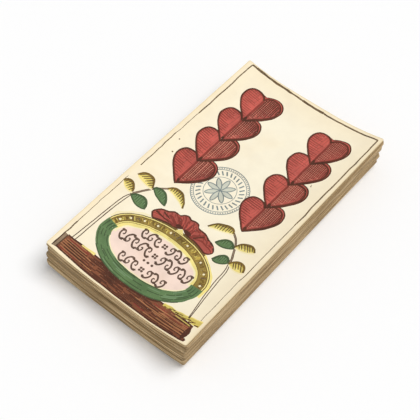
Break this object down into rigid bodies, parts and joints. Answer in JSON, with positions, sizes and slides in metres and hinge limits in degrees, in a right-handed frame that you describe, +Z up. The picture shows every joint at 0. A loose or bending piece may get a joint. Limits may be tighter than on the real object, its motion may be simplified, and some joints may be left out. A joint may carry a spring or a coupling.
{
  "type": "playing card deck",
  "caption": "Squared pack of old pasteboard playing cards with German suits, cupped across their width, lying face up; each card draws out along its length.",
  "frame": {"origin": "middle of the bottom card's underside, on the flat strip that the pack rests on", "axes": "+X across the cards, +Y along the cards towards the far end, +Z up through the pack to the top card's face"},
  "size_m": [0.059, 0.1041, 0.0134],
  "materials": {
    "pasteboard": "unvarnished pasted paper, browned at the edges, printed and stencil-coloured face"
  },
  "bodies": {
    "card_01": {"card_01_eight_of_hearts": "pasteboard"},
    "card_02": {"card_02_six_of_leaves": "pasteboard"},
    "card_03": {"card_03_king_of_leaves": "pasteboard"},
    "card_04": {"card_04_unter_of_acorns": "pasteboard"},
    "card_05": {"card_05_nine_of_bells": "pasteboard"},
    "card_06": {"card_06_seven_of_hearts": "pasteboard"},
    "card_07": {"card_07_daus_of_hearts": "pasteboard"},
    "card_08": {"card_08_ober_of_leaves": "pasteboard"},
    "card_09": {"card_09_ten_of_acorns": "pasteboard"},
    "card_10": {"card_10_eight_of_bells": "pasteboard"},
    "card_11": {"card_11_six_of_hearts": "pasteboard"},
    "card_12": {"card_12_king_of_hearts": "pasteboard"},
    "card_13": {"card_13_unter_of_leaves": "pasteboard"},
    "card_14": {"card_14_nine_of_acorns": "pasteboard"},
    "card_15": {"card_15_seven_of_bells": "pasteboard"},
    "card_16": {"card_16_daus_of_bells": "pasteboard"},
    "card_17": {"card_17_ober_of_hearts": "pasteboard"},
    "card_18": {"card_18_ten_of_leaves": "pasteboard"},
    "card_19": {"card_19_eight_of_acorns": "pasteboard"},
    "card_20": {"card_20_six_of_bells": "pasteboard"},
    "card_21": {"card_21_king_of_bells": "pasteboard"},
    "card_22": {"card_22_unter_of_hearts": "pasteboard"},
    "card_23": {"card_23_nine_of_leaves": "pasteboard"},
    "card_24": {"card_24_seven_of_acorns": "pasteboard"},
    "card_25": {"card_25_daus_of_acorns": "pasteboard"},
    "card_26": {"card_26_ober_of_bells": "pasteboard"},
    "card_27": {"card_27_ten_of_hearts": "pasteboard"},
    "card_28": {"card_28_eight_of_leaves": "pasteboard"},
    "card_29": {"card_29_six_of_acorns": "pasteboard"},
    "card_30": {"card_30_king_of_acorns": "pasteboard"},
    "card_31": {"card_31_unter_of_bells": "pasteboard"},
    "card_32": {"card_32_nine_of_hearts": "pasteboard"},
    "card_33": {"card_33_seven_of_leaves": "pasteboard"},
    "card_34": {"card_34_daus_of_leaves": "pasteboard"},
    "card_35": {"card_35_ober_of_acorns": "pasteboard"},
    "card_36": {"card_36_ten_of_bells": "pasteboard"}
  },
  "joints": [
    {"name": "draw_card_01", "type": "slide", "parent": "card_36", "child": "card_01", "axis": [0, 1, 0], "range_m": [-0.103, 0.103]},
    {"name": "draw_card_02", "type": "slide", "parent": "card_36", "child": "card_02", "axis": [0, 1, 0], "range_m": [-0.103, 0.103]},
    {"name": "draw_card_03", "type": "slide", "parent": "card_36", "child": "card_03", "axis": [0, 1, 0], "range_m": [-0.103, 0.103]},
    {"name": "draw_card_04", "type": "slide", "parent": "card_36", "child": "card_04", "axis": [0, 1, 0], "range_m": [-0.103, 0.103]},
    {"name": "draw_card_05", "type": "slide", "parent": "card_36", "child": "card_05", "axis": [0, 1, 0], "range_m": [-0.103, 0.103]},
    {"name": "draw_card_06", "type": "slide", "parent": "card_36", "child": "card_06", "axis": [0, 1, 0], "range_m": [-0.103, 0.103]},
    {"name": "draw_card_07", "type": "slide", "parent": "card_36", "child": "card_07", "axis": [0, 1, 0], "range_m": [-0.103, 0.103]},
    {"name": "draw_card_08", "type": "slide", "parent": "card_36", "child": "card_08", "axis": [0, 1, 0], "range_m": [-0.103, 0.103]},
    {"name": "draw_card_09", "type": "slide", "parent": "card_36", "child": "card_09", "axis": [0, 1, 0], "range_m": [-0.103, 0.103]},
    {"name": "draw_card_10", "type": "slide", "parent": "card_36", "child": "card_10", "axis": [0, 1, 0], "range_m": [-0.103, 0.103]},
    {"name": "draw_card_11", "type": "slide", "parent": "card_36", "child": "card_11", "axis": [0, 1, 0], "range_m": [-0.103, 0.103]},
    {"name": "draw_card_12", "type": "slide", "parent": "card_36", "child": "card_12", "axis": [0, 1, 0], "range_m": [-0.103, 0.103]},
    {"name": "draw_card_13", "type": "slide", "parent": "card_36", "child": "card_13", "axis": [0, 1, 0], "range_m": [-0.103, 0.103]},
    {"name": "draw_card_14", "type": "slide", "parent": "card_36", "child": "card_14", "axis": [0, 1, 0], "range_m": [-0.103, 0.103]},
    {"name": "draw_card_15", "type": "slide", "parent": "card_36", "child": "card_15", "axis": [0, 1, 0], "range_m": [-0.103, 0.103]},
    {"name": "draw_card_16", "type": "slide", "parent": "card_36", "child": "card_16", "axis": [0, 1, 0], "range_m": [-0.103, 0.103]},
    {"name": "draw_card_17", "type": "slide", "parent": "card_36", "child": "card_17", "axis": [0, 1, 0], "range_m": [-0.103, 0.103]},
    {"name": "draw_card_18", "type": "slide", "parent": "card_36", "child": "card_18", "axis": [0, 1, 0], "range_m": [-0.103, 0.103]},
    {"name": "draw_card_19", "type": "slide", "parent": "card_36", "child": "card_19", "axis": [0, 1, 0], "range_m": [-0.103, 0.103]},
    {"name": "draw_card_20", "type": "slide", "parent": "card_36", "child": "card_20", "axis": [0, 1, 0], "range_m": [-0.103, 0.103]},
    {"name": "draw_card_21", "type": "slide", "parent": "card_36", "child": "card_21", "axis": [0, 1, 0], "range_m": [-0.103, 0.103]},
    {"name": "draw_card_22", "type": "slide", "parent": "card_36", "child": "card_22", "axis": [0, 1, 0], "range_m": [-0.103, 0.103]},
    {"name": "draw_card_23", "type": "slide", "parent": "card_36", "child": "card_23", "axis": [0, 1, 0], "range_m": [-0.103, 0.103]},
    {"name": "draw_card_24", "type": "slide", "parent": "card_36", "child": "card_24", "axis": [0, 1, 0], "range_m": [-0.103, 0.103]},
    {"name": "draw_card_25", "type": "slide", "parent": "card_36", "child": "card_25", "axis": [0, 1, 0], "range_m": [-0.103, 0.103]},
    {"name": "draw_card_26", "type": "slide", "parent": "card_36", "child": "card_26", "axis": [0, 1, 0], "range_m": [-0.103, 0.103]},
    {"name": "draw_card_27", "type": "slide", "parent": "card_36", "child": "card_27", "axis": [0, 1, 0], "range_m": [-0.103, 0.103]},
    {"name": "draw_card_28", "type": "slide", "parent": "card_36", "child": "card_28", "axis": [0, 1, 0], "range_m": [-0.103, 0.103]},
    {"name": "draw_card_29", "type": "slide", "parent": "card_36", "child": "card_29", "axis": [0, 1, 0], "range_m": [-0.103, 0.103]},
    {"name": "draw_card_30", "type": "slide", "parent": "card_36", "child": "card_30", "axis": [0, 1, 0], "range_m": [-0.103, 0.103]},
    {"name": "draw_card_31", "type": "slide", "parent": "card_36", "child": "card_31", "axis": [0, 1, 0], "range_m": [-0.103, 0.103]},
    {"name": "draw_card_32", "type": "slide", "parent": "card_36", "child": "card_32", "axis": [0, 1, 0], "range_m": [-0.103, 0.103]},
    {"name": "draw_card_33", "type": "slide", "parent": "card_36", "child": "card_33", "axis": [0, 1, 0], "range_m": [-0.103, 0.103]},
    {"name": "draw_card_34", "type": "slide", "parent": "card_36", "child": "card_34", "axis": [0, 1, 0], "range_m": [-0.103, 0.103]},
    {"name": "draw_card_35", "type": "slide", "parent": "card_36", "child": "card_35", "axis": [0, 1, 0], "range_m": [-0.103, 0.103]}
  ]
}
